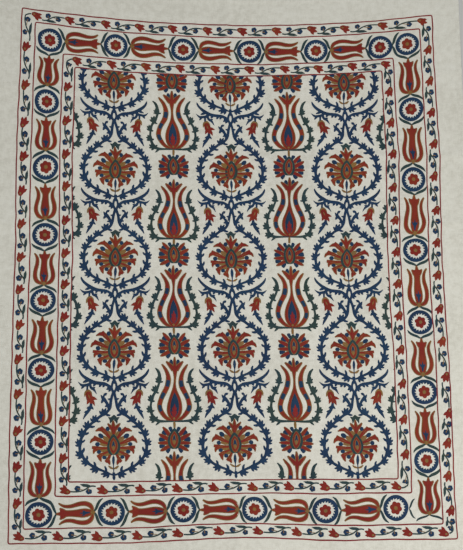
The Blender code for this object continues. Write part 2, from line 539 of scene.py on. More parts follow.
def leafy(sketch, thread, points, half_width, leaves, fingers, scale=1.0):
    """A vine with a leaf on its left-hand side at each of the distances from its start."""
    places, left, spread, run = route_through(points, half_width, STEP)
    for distance in leaves:
        spread = spread + LEAF_SWELL * scale * np.exp(-((run - distance) / LEAF_REACH) ** 2)
    sketch.band(thread, places, spread, step=STEP * 1.5)
    for number, distance in enumerate(leaves):
        here = int(np.argmin(np.abs(run - distance)))
        outward = left[here]
        forward = np.array((outward[1], -outward[0]))
        change = scale * (1.0 + LEAF_VARIES * math.sin(2.3 * number + 0.9))
        palm = [places[here] + (forward * along + outward * out) * change for along, out, _wide in PALM]
        sketch.band(thread, palm, [wide * change for _along, _out, wide in PALM], step=5.0)
        for along, out, wide in fingers:
            side = math.copysign(1.0, out)
            root = forward * (along * 0.5 - FINGER_SWEEP) + outward * FINGER_ROOT * side
            start = places[here] + root * change
            tip = places[here] + (forward * along + outward * out) * change
            sketch.lobe(thread, start, tip, wide * change, bow=FINGER_BOW * side, blunt=0.5)


# %% The wreath round a carnation, left half, from its lowest point up to the knot
WREATH = ((-2, -103), (-19, -97), (-37, -89), (-62, -79), (-88, -61), (-106, -36), (-113, -11),
          (-111, 18), (-101, 42), (-81, 66), (-60, 83), (-40, 98), (-21, 111), (-12, 126),
          (-8, 150), (-1, 179))
WREATH_WIDTHS = (3.4, 3.8, 4.4, 5.0, 5.3, 5.5, 5.5, 5.4, 5.2, 5.1, 5.0, 5.0, 5.2, 5.4, 5.1, 4.9)
WREATH_LEAVES = (23, 64, 102, 135, 169, 201, 232, 265, 302)


def make_wreath():
    half = Sketch()
    leafy(half, "indigo", WREATH, WREATH_WIDTHS, WREATH_LEAVES, WREATH_FINGERS)
    half.lobe("indigo", (-9, 151), (-20, 154), 4.4)
    return half.both_sides()


# %% The knot where two wreaths meet, and the branches that spring from it
def make_knot():
    """Measured from where the strands of the lower wreath join."""
    half = Sketch()
    half.band("indigo", [(0, -6), (-5, 3), (-8, 14), (-6, 27), (-1, 36)], (6.0, 4.6, 4.0, 4.4, 5.2))
    half.band("indigo", [(-11, 6), (-15, 10), (-21, 17)], (4.4, 6.6, 4.4))
    for start, tip in (((-14, 11), (-26, 6)), ((-11, 7), (-18, -1))):
        half.lobe("indigo", start, tip, 5.0, blunt=0.5)
    return half.both_sides()


def make_stalk():
    """The short stalk that carries the wreath above the knot."""
    stalk = Sketch()
    stalk.band("indigo", [(0, 25), (0, 32), (0, 42), (0, 52)], (2.0, 5.8, 5.2, 5.8))
    return stalk


def make_branch():
    """The long leaf of one side, with the small leaves and the stem that carries a bell."""
    half = Sketch()
    half.band("indigo", [(-7, 11), (-16, 17), (-31, 25), (-46, 27), (-61, 29), (-76, 33), (-91, 41),
                         (-103, 50), (-113, 60), (-119, 70), (-121, 77)],
              (4.0, 5.2, 5.4, 5.6, 5.8, 6.6, 6.6, 5.6, 4.8, 3.8, 1.4))
    for start, tip in (((-33, 22), (-38, 14)), ((-44, 24), (-50, 15)), ((-63, 28), (-70, 18)),
                       ((-90, 37), (-107, 30))):
        half.lobe("indigo", start, tip, 5.4, blunt=0.4)
    half.band("indigo", [(-78, 30), (-87, 24), (-101, 21), (-112, 22), (-124, 32)],
              (5.6, 5.4, 5.0, 4.4, 1.0))
    half.lobe("indigo", (-103, 20), (-112, 9), 4.8, blunt=0.4)
    half.band("indigo", [(-84, 28), (-77, 13), (-67, 7), (-57, -9)], (5.2, 5.0, 4.8, 1.0))
    half.lobe("indigo", (-75, 11), (-62, 15), 4.6, blunt=0.4)
    half.band("indigo", [(-90, 24), (-91, 13), (-91, 2)], (4.4, 3.8, 3.8))
    half.join(make_bell())
    return half


def make_bell():
    """A nodding red flower under a gold cap, with a leafy tail."""
    bell = Sketch()
    bell.band("gold", [(-99, -18), (-97, -5), (-88, 4), (-78, -3), (-73, -14)], (2.0, 4.0, 4.6, 4.0, 1.0))
    bell.band("madder", [(-88, 0), (-86, -9), (-82, -22), (-79, -32)], (6.0, 10.4, 12.0, 11.0), 1)
    for start, tip in (((-84, -26), (-92, -43)), ((-75, -27), (-65, -48)), ((-75, -20), (-56, -26)),
                       ((-79, -28), (-78, -43))):
        bell.lobe("madder", start, tip, 5.8, 1)
    bell.band("gold", [(-87, -9), (-84, -16), (-80, -25)], (1.2, 2.6, 1.0), 2)
    bell.band("indigo", [(-79, -37), (-79, -48), (-84, -60), (-90, -70), (-97, -80), (-104, -93)],
              (4.0, 5.8, 6.2, 6.0, 4.8, 1.6))
    for start, tip in (((-81, -52), (-94, -57)), ((-80, -50), (-69, -61)), ((-89, -67), (-102, -70))):
        bell.lobe("indigo", start, tip, 5.2, blunt=0.35)
    return bell


def make_sprig():
    """The small curled shoot beside the neck of the wreath, measured from the knot."""
    half = Sketch()
    half.band("indigo", [(-14, -60), (-18, -48), (-24, -36), (-31, -27), (-38, -20), (-44, -11)],
              (6.4, 5.8, 5.4, 6.8, 5.6, 1.4))
    half.band("indigo", [(-34, -24), (-33, -15), (-29, -9), (-23, -11)], (4.6, 3.8, 4.6, 5.4))
    half.lobe("indigo", (-34, -25), (-42, -39), 6.0, blunt=0.4)
    half.lobe("indigo", (-18, -48), (-30, -50), 5.0, blunt=0.4)
    return half


wreath = make_wreath()
stalk = make_stalk()
knot_group = make_knot()
knot_group.join(stalk, make_branch().both_sides(), make_sprig().both_sides())
print("one wreath:", wreath.faces(), "faces; knot and branches:", knot_group.faces())

# %% [markdown]
# ## The carnation
#
# In the wreath sits a round flower with five flared petals to a side and one on top. The petals
# are red with a gold outline, gold wedges fill the gaps next to the heart, and a dark blue dot
# closes each gap outside. Because the two halves match, half of the flower is drawn and mirrored.
# The outline isn't drawn at all: each petal is sewn twice, first in gold and a little wider.

# %% Carnation
#   route of the petal, from the heart out               half widths    its prong, and then its barb
PETALS = (
    (((-8, 16), (-22, 34), (-32, 45), (-38, 50)), (4.2, 5.8, 7.0, 6.4), ((-33, 46), (-43, 58)),
     ((-38, 50), (-50, 50), (-63, 45))),
    (((-12, 0), (-33, 8), (-49, 16), (-60, 20)), (4.0, 5.2, 6.6, 6.6), ((-54, 18), (-69, 28)),
     ((-61, 21), (-73, 16), (-80, 5))),
    (((-12, -12), (-37, -12), (-53, -12), (-63, -13)), (3.6, 4.6, 5.8, 5.6), ((-55, -11), (-74, -9)),
     ((-59, -14), (-66, -20), (-68, -31))),
    (((-10, -20), (-32, -29), (-43, -35), (-50, -40)), (3.2, 4.4, 5.8, 5.6), ((-43, -35), (-56, -41)),
     ((-47, -40), (-46, -49), (-42, -59))),
    (((-7, -26), (-16, -43), (-20, -52), (-22, -56)), (3.0, 4.4, 5.6, 5.4), ((-20, -52), (-28, -60)),
     ((-20, -53), (-16, -61), (-13, -69))),
)
#            x    y   half_length half_width turn
WEDGES = ((-13, 33, 13.0, 7.6, 104), (-26, 19, 14.0, 8.2, 145), (-33, 1, 15.0, 7.2, 175),
          (-31, -18, 14.0, 6.8, 190), (-23, -32, 12.5, 6.8, 222))
#              x      y   radius_x radius_y turn
FLOWER_DOTS = ((-20, 52, 7.2, 7.8, 0), (-44, 30, 10.4, 7.4, -32), (-56, 2, 8.2, 7.6, 0),
               (-50, -24, 7.8, 7.0, 10), (-31, -43, 7.6, 7.2, 0))
PETAL_OUTLINE = 1.8         # millimetres, finer than round the tulips
PRONG_WIDTHS = (6.2, 4.0)
BARB_WIDTHS = (6.6, 4.8, 0.8)
STREAK_WIDTHS = (0.8, 1.5, 0.5)


def petal(sketch, route, widths, prong, barb):
    """A red petal with a gold edge, a streak down its middle, a blunt prong and a curved barb."""
    for points, spread in ((route, widths), (prong, PRONG_WIDTHS), (barb, BARB_WIDTHS)):
        sketch.outlined("madder", points, spread, 1, PETAL_OUTLINE)
    sketch.band("gold", route[1:], STREAK_WIDTHS, 3, relief=0.4)


def make_carnation():
    half = Sketch()
    for x, y, length, width, turn in WEDGES:
        reach = heading(math.radians(turn)) * length
        spot = np.array((x, y))
        half.band("gold", [spot - reach, spot, spot + reach], (width * 0.8, width, width * 0.6))
    for x, y, radius_x, radius_y, turn in FLOWER_DOTS:
        half.dot("indigo", x, y, radius_x, radius_y, layer=1.6, turn=turn)
    for route, widths, prong, barb in PETALS:
        petal(half, route, widths, prong, barb)
    flower = half.both_sides()
    flower.join(make_crown_petal(), make_heart())
    flower.band("indigo", [(0, -36), (0, -44), (0, -54), (0, -63), (0, -72), (0, -100)],
                (1.0, 4.6, 5.6, 4.4, 2.2, 2.2))
    for side in (-1, 1):
        flower.band("gold", [(side * 18, -72), (side * 10, -78), (side * 1, -81)], (2.2, 3.8, 2.4), 1)
    return flower


def make_crown_petal():
    crown = Sketch()
    crown.outlined("madder", ((0, 33), (0, 44), (0, 54), (0, 60)), (4.0, 7.4, 8.6, 7.4), 1)
    for start, tip in (((-4, 52), (-20, 71)), ((0, 54), (-2, 82)), ((4, 52), (22, 72))):
        crown.outlined("madder", on_the_way(start, tip), (6.0, 4.6, 0.9), 1, OUTLINE * 0.8)
    return crown


def upright(places):
    """Points and half widths of a filling on a line that runs straight up."""
    return [(0, y) for y, _wide in places], [wide for _y, wide in places]


#               thread   layer  y and half width of each place, from the foot up
HEART = (
    ("green", 3.0, ((-35, 9), (-31, 14.5), (-23, 19.5), (-12, 22.5), (0, 22.5), (10, 19.5), (20, 14.5),
                    (29, 8.5), (37, 0.5))),
    ("gold", 3.5, ((-34, 0.5), (-30, 5.5), (-24, 10.2), (-14, 14), (-4, 15), (6, 13.8), (14, 10.2),
                   (21, 5.4), (27, 0.5))),
    ("madder", 4.0, ((-32, 0.5), (-28, 4.6), (-23, 8.8), (-14, 12.5), (-4, 13.4), (6, 12.2), (14, 8.6),
                     (20, 4.4), (25, 0.5))),
    ("gold", 4.5, ((-22, 0.5), (-17, 4.4), (-10, 7.2), (-2, 8.0), (6, 6.8), (12, 3.8), (17, 0.5))),
    ("indigo", 5.0, ((-5, 4.2), (0, 5.0), (6, 4.2), (14, 0.5))),
)


def make_heart():
    """Green calyx, red almond with gold edges, gold fill and a blue drop with three prongs."""
    heart = Sketch()
    for thread, layer, places in HEART:
        heart.band(thread, *upright(places), layer, relief=0.35)
    for x in (-3.6, 3.6):
        heart.lobe("indigo", (x, 0), (x * 1.15, -10), 2.0, 5)
    return heart


def make_crown_leaf():
    """The dark leaf that hangs over the carnation, like a small crown."""
    half = Sketch()
    half.band("green", [(1, 99), (-3, 91), (-8, 83), (-11, 70)], (2.6, 6.4, 6.6, 1.0))
    half.lobe("green", (-5, 84), (-20, 92), 5.4)
    return half.both_sides()


carnation = make_carnation()
carnation.join(make_crown_leaf())
print("one carnation:", carnation.faces(), "faces")

# %% [markdown]
# ## The large tulip
#
# Between the wreaths stand tall tulips. The middle petal swells round a blue drop with a red flame
# in it, narrows to a neck and opens in three points. A banded petal, red and blue by turns, curls
# round it on either side, and a leafy green stem frames the whole. The bands are one route cut
# into lengths: each length is sewn in its own thread over a gold band that runs all the way.

# %% Large tulip, measured from the foot of its petals
#       y and half width of each place, from the foot up
BODY = ((0, 2), (4, 8), (9, 13.5), (16, 19), (26, 23.5), (37, 25.5), (48, 25.5), (58, 24), (69, 21),
        (80, 17), (91, 12.2), (102, 8), (113, 4.8), (124, 3.2), (135, 2.6), (146, 3), (158, 4.4),
        (170, 6.8), (180, 10.2), (189, 13.8))
DROP = ((13, 2.5), (19, 8.5), (27, 13), (38, 15.2), (50, 15), (60, 13.6), (70, 11), (80, 7.6), (88, 4),
        (95, 0.5))
FLAME = ((13, 2.2), (20, 6.6), (28, 8), (38, 6.4), (48, 4.6), (60, 0.5))
SIDE_PETAL = ((-2, 2), (-14, 4), (-29, 12), (-41, 25), (-49, 40), (-51, 54), (-48, 69), (-42, 84),
              (-34, 99), (-27, 113), (-23, 128), (-22, 142), (-24, 157), (-30, 172), (-39, 184),
              (-47, 194))
PETAL_WIDTHS = (1.5, 3.4, 5.4, 7.0, 7.6, 7.4, 7.2, 7.4, 7.8, 8.0, 8.0, 7.2, 6.0, 5.0, 3.6, 0.8)
#                thread   from  to, as places in the route
PETAL_BANDS = (("madder", 0, 3.5), ("indigo", 3.5, 5.0), ("madder", 5.0, 6.4), ("indigo", 6.4, 7.7),
               ("madder", 7.7, 9.2), ("indigo", 9.2, 10.7), ("madder", 10.7, 15))
STEM = ((0, 0), (-30, -1), (-54, 0), (-70, 8), (-78, 22), (-82, 42), (-81, 60), (-77, 80), (-68, 97),
        (-59, 113), (-53, 128), (-51, 142), (-53, 157), (-58, 169), (-68, 180))
STEM_WIDTHS = (3.4, 4.0, 5.4, 5.8, 5.6, 5.0, 4.3, 4.8, 4.8, 4.6, 4.5, 5.4, 6.0, 5.2, 2.4)
STEM_LEAVES = (74, 105, 141, 175, 213)
STEM_SCALE = 0.96           # its leaves against the wreath's
DROP_EDGE = 1.0             # millimetres of gold round the drop


def part_of_route(points, widths, start, end):
    """The stretch of a route between two places, counted in its own points."""
    inside = [start, *[place for place in range(len(points)) if start < place < end], end]
    table = np.column_stack([np.array(points, float), widths])
    rows = np.column_stack([np.interp(inside, range(len(points)), column) for column in table.T])
    return rows[:, :2], rows[:, 2]


def make_large_tulip():
    half = Sketch()
    half.band("gold", SIDE_PETAL, np.array(PETAL_WIDTHS) + EDGE_OUT * OUTLINE, relief=EDGE_RELIEF)
    for thread, start, end in PETAL_BANDS:
        route, widths = part_of_route(SIDE_PETAL, PETAL_WIDTHS, start, end)
        half.band(thread, route, widths - EDGE_IN * OUTLINE, 1)
    leafy(half, "green", STEM, STEM_WIDTHS, STEM_LEAVES, STEM_FINGERS, STEM_SCALE)
    half.lobe("green", (-52, -2), (-66, -14), 4.6, blunt=0.4)
    half.outlined("madder", [(-4, 176), (-14, 188), (-23, 197), (-31, 204)], (7.6, 6.6, 4.4, 0.8), 1)
    half.band("indigo", [(-8, 188), (-11, 197), (-13, 204), (-12, 211)], (3.0, 5.4, 6.8, 3.8))
    for start, tip in (((4, 22), (10, 35)), ((3, 34), (8, 48))):
        half.lobe("crimson", start, tip, 3.2, 4)
    tulip = half.both_sides()
    tulip.outlined("madder", *upright(BODY))
    tulip.outlined("madder", [(0, 176), (0, 194), (0, 208), (0, 220)], (6.2, 5.4, 3.6, 0.8), 1)
    tulip.band("gold", *upright([(y, wide + DROP_EDGE) for y, wide in DROP]), 2, relief=EDGE_RELIEF)
    tulip.band("indigo", *upright(DROP), 3)
    tulip.band("crimson", *upright(FLAME), 4)
    tulip.dot("gold", 0, 9, 4.6, 5.0, layer=2)
    tulip.band("gold", [(0, -2), (0, -12), (0, -25)], (3.8, 4.6, 3.8), 1)
    return tulip


large_tulip = make_large_tulip()
print("one large tulip:", large_tulip.faces(), "faces")

# %% [markdown]
# ## The small palmette
#
# A small flower of the same family fills the gap between two tulips: the carnation's heart, four
# plain pointed petals to a side, and blue dots between them. The heart is the carnation's own, as
# an embroiderer reuses a template.

# %% Small palmette, measured from its middle
#   start         tip          half_width
SMALL_PETALS = (((-17, 11), (-41, 40), 6.4), ((-20, -3), (-55, 17), 6.8), ((-20, -14), (-58, -14), 6.0),
                ((-17, -25), (-50, -41), 6.2))
#               inner point   outer end    half_width
SMALL_DOTS = (((-9, 20), (-17, 40), 6.6), ((-26, 13), (-43, 25), 7.0), ((-32, -4), (-55, -1), 8.0),
              ((-32, -23), (-53, -26), 6.8), ((-14, -31), (-28, -46), 6.8))
SMALL_OUTLINE = 2.0         # millimetres


def make_palmette():
    half = Sketch()
    for inner, outer, width in SMALL_DOTS:
        points = on_the_way(inner, outer, (0.0, 0.35, 0.75, 0.93, 1.0))
        half.band("indigo", points, np.array((0.3, 0.85, 1.0, 0.85, 0.45)) * width, 0.6)
    for start, tip, width in SMALL_PETALS:
        points = on_the_way(start, tip, (0.0, 0.4, 0.75, 1.0))
        half.outlined("madder", points, np.array((0.9, 1.0, 0.74, 0.15)) * width, 1, SMALL_OUTLINE)
    flower = half.both_sides()
    flower.join(make_heart())
    return flower


palmette = make_palmette()
print("one palmette:", palmette.faces(), "faces")

# %% [markdown]
# ## Motifs of the main border
#
# The wide border repeats two motifs: a rosette in a toothed blue ring between two green brackets,
# and a tulip with three petals. The ring is one closed band whose inner edge runs in and out. A
# band has one width for both sides, so the teeth are small leaves set round the inner edge.

# %% Rosette
RING_RADIUS = 39.2
RING_SQUASH = 0.95
RING_WIDTH = 6.1
RING_POINTS = 24
RING_TEETH = 20
TOOTH_LAG = 0.18            # radians by which a tooth's tip lies round from its root
TOOTH_ROOT, TOOTH_TIP = 3.0, 10.0   # millimetres inside the ring's middle line
FLOWER_RADIUS = 22.5
EYE_RADIUS = 7.0
#          left half of the bracket, with its point upwards
BRACKET = ((-47, 28), (-39, 38), (-27, 45), (-13, 50), (0, 57))
BRACKET_WIDTHS = (1.6, 4.6, 5.4, 5.0, 3.0)


def make_rosette():
    rosette = Sketch()
    turns = np.arange(RING_POINTS) * 2.0 * math.pi / RING_POINTS
    ring = np.column_stack([RING_RADIUS * np.cos(turns), RING_RADIUS * RING_SQUASH * np.sin(turns)])
    rosette.band("indigo", ring, RING_WIDTH, closed=True, step=4.0)
    for tooth in range(RING_TEETH):
        angle = 2.0 * math.pi * tooth / RING_TEETH
        start = heading(angle) * (1.0, RING_SQUASH) * (RING_RADIUS - TOOTH_ROOT)
        tip = heading(angle + TOOTH_LAG) * (1.0, RING_SQUASH) * (RING_RADIUS - TOOTH_TIP)
        rosette.lobe("indigo", start, tip, 4.0, blunt=0.55)
    rosette.dot("madder", 0, 0, FLOWER_RADIUS, lobes=6, depth=0.22, turn=30)
    rosette.dot("gold", 0, 0, EYE_RADIUS, layer=1)
    return rosette


def make_bracket():
    bracket = Sketch()
    bracket.band("green", BRACKET, BRACKET_WIDTHS)
    bracket.band("green", [(-x, y) for x, y in reversed(BRACKET)], BRACKET_WIDTHS[::-1])
    return bracket


# %% Border tulip, measured from the foot of its petals
BORDER_BODY = ((3, 3), (8, 7.4), (14, 10.4), (23, 13.2), (32, 14.2), (41, 13.8), (50, 12.4), (60, 11.2),
               (69, 10.2), (78, 9.8), (88, 10.8), (97, 13), (103, 14.5))
BORDER_DROP = ((12, 2.0), (17, 3.2), (24, 4.8), (31, 6.6), (36, 5))
BORDER_PETAL = ((-4, 5), (-14, 7), (-24, 13), (-30, 23), (-32, 34), (-31, 46), (-28, 58), (-25, 69),
                (-24, 80), (-25, 89), (-29, 98), (-36, 107))
BORDER_PETAL_WIDTHS = (1.6, 4.0, 5.8, 6.5, 6.5, 6.2, 5.7, 5.3, 4.9, 4.3, 2.9, 0.8)
BORDER_TULIP_LENGTH = 116.0


def make_border_tulip():
    half = Sketch()
    half.outlined("madder", BORDER_PETAL, BORDER_PETAL_WIDTHS)
    tulip = half.both_sides()
    tulip.outlined("madder", *upright(BORDER_BODY))
    for tip in ((-19, 104), (0, 117), (19, 104)):
        tulip.outlined("madder", on_the_way((tip[0] * 0.32, 90.0), tip), (6.6, 5.0, 0.8))
    tulip.band("indigo", *upright(BORDER_DROP), 2)
    for tip in ((-10, 39), (0, 47), (9, 38)):
        tulip.lobe("indigo", (tip[0] * 0.45, 28), tip, 3.0, 2)
    tulip.band("gold", *upright(((-2, 2), (2, 6.4), (7, 7.0), (12, 3))), 2)
    return tulip


rosette = make_rosette()
bracket = make_bracket()
border_tulip = make_border_tulip()
print("rosette:", rosette.faces(), "faces; border tulip:", border_tulip.faces())

# %% [markdown]
# ## The guard borders
#
# Two narrow borders run beside the wide one. Each is a vine that leaves a small leaning tulip by
# one of its tips, carries a leaf and two blue berries, and ends at the foot of the next tulip. The
# tulips aren't quite evenly spaced, so the vine between two of them is drawn to the length that
# is left, and only the tulip itself keeps its size.

# %% One unit of a guard border: a tulip, and the vine that grows up from it
VINE = ((14, 19), (16, 28), (15, 39), (11, 47), (6, 55), (1, 65), (-2, 75), (-4, 87), (-4, 100), (-3, 116))
VINE_LEAF = ((15, 36), (17, 50), (18, 65), (21, 79))
#           berry     where its stalk leaves the vine
BERRIES = (((7, 88), (2, 66)), ((-3, 45), (11, 47)))
VINE_FOOT = 19.0            # where the vine leaves the tulip, above the tulip's middle
VINE_LENGTH = 97.0          # as drawn, from there to the foot of the next tulip


def make_guard_tulip():
    """A small tulip that leans to the right, measured from its middle."""
    tulip = Sketch()
    tulip.band("madder", [(-4, -19), (-3, -10), (0, -1), (2, 8)], (4.8, 10.4, 11.6, 9.4))
    for start, tip, width in (((-4, 3), (-5, 18), 6.2), ((5, 4), (10, 19), 6.4), ((6, -3), (21, 5), 6.8)):
        tulip.lobe("madder", start, tip, width)
    tulip.dot("gold", -3, -10, 4.2, 5.0, layer=1)
    return tulip


def make_guard_vine(length):
    """The vine with its leaf and berries, drawn out to the distance between two tulips."""
    def grown(x, y):
        return x, VINE_FOOT + (y - VINE_FOOT) * (length - 2.0 * VINE_FOOT) / VINE_LENGTH

    vine = Sketch()
    vine.band("green", [grown(*spot) for spot in VINE], 2.9)
    vine.band("green", [grown(*spot) for spot in VINE_LEAF], (2.4, 5.4, 5.2, 0.8))
    for berry, stalk in BERRIES:
        spot, root = np.array(grown(*berry)), np.array(grown(*stalk))
        vine.dot("indigo", *spot, 10.2, 11.4, lobes=5, depth=0.14, turn=18)
        vine.band("gold", on_the_way(root, spot), (1.0, 1.2, 2.4), 1.4)
    return vine


guard_tulip = make_guard_tulip()
print("guard tulip:", guard_tulip.faces(), "faces; vine:", make_guard_vine(124).faces())

# %% [markdown]
# ## Frame lines
#
# Four red lines of chain stitch part the borders. They were sewn by eye over a drawn line, so they
# waver by a millimetre or two. Straight bands would look printed. The waver is not put into the
# lines here: a little further on every stitch of the cover goes through the same slow distortion,
# which also makes no two copies of a motif quite alike. The long sides were drawn a few millimetres
# off the square as well. `leaned` adds that lean further on too, to the lines and to the field.

# %% Rectangles of the frame lines, in millimetres
#                left    foot   right   head
FRAME_LINES = ((-767.5, -926.0, 765.0, 927.0), (-717.0, -877.0, 717.5, 880.0),
               (-613.5, -771.0, 613.5, 776.0), (-568.0, -724.0, 568.0, 731.0))
LINE_HALF_WIDTH = 2.6
LINE_CORNER = 7.0           # radius of the rounded corners
LINE_STEP = 30.0            # about the gap between the points that a line is sewn through
LINE_RELIEF = 0.7           # millimetres that a line stands proud
HAND_WAVER = 1.1            # millimetres
WAVES_TOGETHER = 0.62       # share of the four waves' sum that is used
WAVE_SIZES = (1.0, 0.8, 0.6, 0.4)
#               length  direction  phase of each wave
ASIDE_WAVES = ((173, 20, 0.4), (97, 74, 2.1), (61, 131, 4.0), (37, 8, 1))
AHEAD_WAVES = ((151, 112, 1.7), (89, 33, 5.2), (57, 88, 0.6), (41, 99, 3))
LEAN_BLEND = 1200.0         # width over which the left side's lean turns into the right side's
LEAN_AT = (-800, -660, -300, -100, 60, 300, 420, 600, 760)
LEFT_LEAN = (-0.5, -0.5, 2.0, 4.5, 6.5, 3.0, 2.5, 4.0, 7.0)
RIGHT_LEAN = (-1.0, 1.0, 4.0, -1.0, -3.0, 3.5, 6.5, 2.5, 0.5)


def make_frame_lines():
    lines = Sketch()
    for left, foot, right, head in FRAME_LINES:
        points = []
        for x, y, turn in ((right, foot, -90), (right, head, 0), (left, head, 90), (left, foot, 180)):
            centre = np.array((x - math.copysign(LINE_CORNER, x), y - math.copysign(LINE_CORNER, y)))
            for part in (0.0, 45.0, 90.0):
                angle = math.radians(turn + part)
                points.append(centre + LINE_CORNER * heading(angle))
        sides = []
        for start, end in zip(points, points[1:] + points[:1]):
            count = max(1, round(math.dist(start, end) / LINE_STEP))
            sides += [start + (end - start) * share / count for share in range(count)]
        lines.band("crimson", sides, LINE_HALF_WIDTH, closed=True, step=5.0, relief=LINE_RELIEF)
    return lines


def waver(x, y, waves):
    """How far the hand strayed from the drawing, aside or ahead, at a place on the cover."""
    total = 0.0
    for size, (length, direction, phase) in zip(WAVE_SIZES, waves):
        across, up = heading(math.radians(direction))
        total = total + size * np.sin((x * across + y * up) * 2.0 * math.pi / length + phase)
    return HAND_WAVER * WAVES_TOGETHER * total


def leaned(flat, way=1.0):
    """Points moved as the long sides lean, or moved back."""
    right = smooth(0.5 + flat[:, 0] / LEAN_BLEND)
    lean = (1.0 - right) * np.interp(flat[:, 1], LEAN_AT, LEFT_LEAN)
    lean = lean + right * np.interp(flat[:, 1], LEAN_AT, RIGHT_LEAN)
    return np.column_stack([flat[:, 0] + way * lean, flat[:, 1]])


frame_lines = make_frame_lines()
print("frame lines:", frame_lines.faces(), "faces")

# %% [markdown]
# ## Setting out the field
#
# The field is a half-drop of two columns by turns: wreaths, and tulips with palmettes. The
# pattern runs on under the frame line as if cut off by it, so the columns are set out past the
# edge and whatever lies outside the innermost line is trimmed away later.

# %% Columns and rows of the field
COLUMN_PITCH = 210.5
ROW_PITCH = 324.5
FIRST_ROW = 48.8            # the middle row's carnations, above the middle of the cut
KNOT_RISE = 179.0           # knot above its carnation
PALMETTE_RISE = 16.0
TULIP_RISE = 77.0
LOW_TULIP = (-1, 0)         # column and row of a tulip that was drawn too low
LOW_TULIP_DROP = 7.0
#    how far the carnations stray from an even grid: left, middle and right column, lowest row first
STRAYS = np.array((
    ((4, 2), (-1, 3), (4, -5)),
    ((7, 6), (3, 0), (5, -4)),
    ((12, 4), (2, -3), (-4, -3)),
    ((10, -1), (8, -5), (6, -4)),
    ((1, -4), (7, -2), (6, -1)),
), float)
SLIP = 0.8                  # millimetres by which a motif is usually out of place
SLIP_TURN = 0.7             # degrees by which it is usually out of true
hand = np.random.default_rng(11)


def by_hand(sketch, x, y, turn=0.0):
    """A copy set down as a person would: never quite in place or upright."""
    slip_x, slip_y, slip_turn = hand.normal(0.0, 1.0, 3)
    return sketch.placed(x + SLIP * slip_x, y + SLIP * slip_y, turn + SLIP_TURN * slip_turn)


def strayed(flat):
    """Where points of the even grid were really drawn: between the carnations the error fades over."""
    across = np.clip(flat[:, 0] / (2.0 * COLUMN_PITCH) + 1.0, 0.0, 2.0)
    up = np.clip((flat[:, 1] - FIRST_ROW) / ROW_PITCH + 2.0, 0.0, 4.0)
    column = np.minimum(across.astype(int), 1)
    row = np.minimum(up.astype(int), 3)
    right = smooth(across - column)[:, None]
    above = smooth(up - row)[:, None]
    lower, upper = [STRAYS[level, column] * (1.0 - right) + STRAYS[level, column + 1] * right
                    for level in (row, row + 1)]
    return flat + lower * (1.0 - above) + upper * above


def set_out_field():
    field = Sketch()
    for row in range(-3, 3):
        y = FIRST_ROW + ROW_PITCH * row
        for column in range(-3, 4):
            x = COLUMN_PITCH * column
            if column % 2:
                drop = LOW_TULIP_DROP if (column, row) == LOW_TULIP else 0.0
                field.join(by_hand(palmette, x, y + PALMETTE_RISE),
                           by_hand(large_tulip, x, y + TULIP_RISE - drop))
            elif row == -3:
                field.join(stalk.placed(x, y + KNOT_RISE))
            else:
                field.join(wreath.placed(x, y), knot_group.placed(x, y + KNOT_RISE),
                           by_hand(carnation, x, y))
    return field.moved(strayed).moved(lambda flat: leaned(flat, -1.0))


field = set_out_field()
print("field:", field.faces(), "faces before trimming")

# %% [markdown]
# ## Setting out the borders
#
# An embroiderer fits a border by eye: they start at a corner, and the spaces grow or shrink on
# the way. The places below were read off the cover with a millimetre grid laid over it. The guard
# borders grow clockwise, and the wide border's tulips point up on both long sides.

# %% Places along the wide border, in millimetres
#   each run is a row of rosettes in the direction in which the tulips between them point
LEFT_RUN = [(-667, -830), (-663, -588), (-664, -342), (-662, -100), (-657, 133), (-662, 372),
            (-662, 600), (-655, 821)]
RIGHT_RUN = [(671, -900), (672, -664), (674, -430), (672, -186), (667, 74), (671, 333), (674, 582),
             (667, 826)]
HEAD_RUN = [(-655, 821), (-413, 828), (-163, 829), (82, 825), (326, 823), (568, 823)]
FOOT_RUN = [(553, -823), (305, -830), (60, -828), (-183, -825), (-425, -824), (-667, -830)]
BRACKET_POINT = 55.0        # distance from a rosette's middle to its bracket's point
#   the right side's first bracket is flattened, and moved so that its point stays where it was
LOW_BRACKET_RISE = 12.0
LOW_BRACKET_SQUASH = 0.76
SMALL_BRACKET_PLACE = (642, -824)
SMALL_BRACKET_SIZE = 0.72


def set_out_main_border():
    border = Sketch()
    flattened = bracket.placed(0, LOW_BRACKET_RISE, stretch=LOW_BRACKET_SQUASH)
    runs = (LEFT_RUN, RIGHT_RUN, HEAD_RUN, FOOT_RUN)
    for x, y in sorted({spot for run in runs for spot in run} - {RIGHT_RUN[0]}):
        border.join(by_hand(rosette, x, y, float(hand.uniform(0.0, 18.0))))
    for run in runs:
        for start, end in zip(run, run[1:]):
            turn = math.degrees(math.atan2(start[0] - end[0], end[1] - start[1]))
            ahead = np.subtract(end, start) / math.dist(start, end)
            stretch = (math.dist(start, end) - 2.0 * BRACKET_POINT) / BORDER_TULIP_LENGTH
            low_bracket = flattened if start == RIGHT_RUN[0] else bracket
            border.join(by_hand(low_bracket, *start, turn), by_hand(bracket, *end, turn + 180.0),
                        border_tulip.placed(*(start + ahead * BRACKET_POINT), turn, stretch=stretch))
    border.join(bracket.placed(*RIGHT_RUN[-1], 90.0),
                bracket.placed(*SMALL_BRACKET_PLACE, 90.0, size=SMALL_BRACKET_SIZE))
    return border


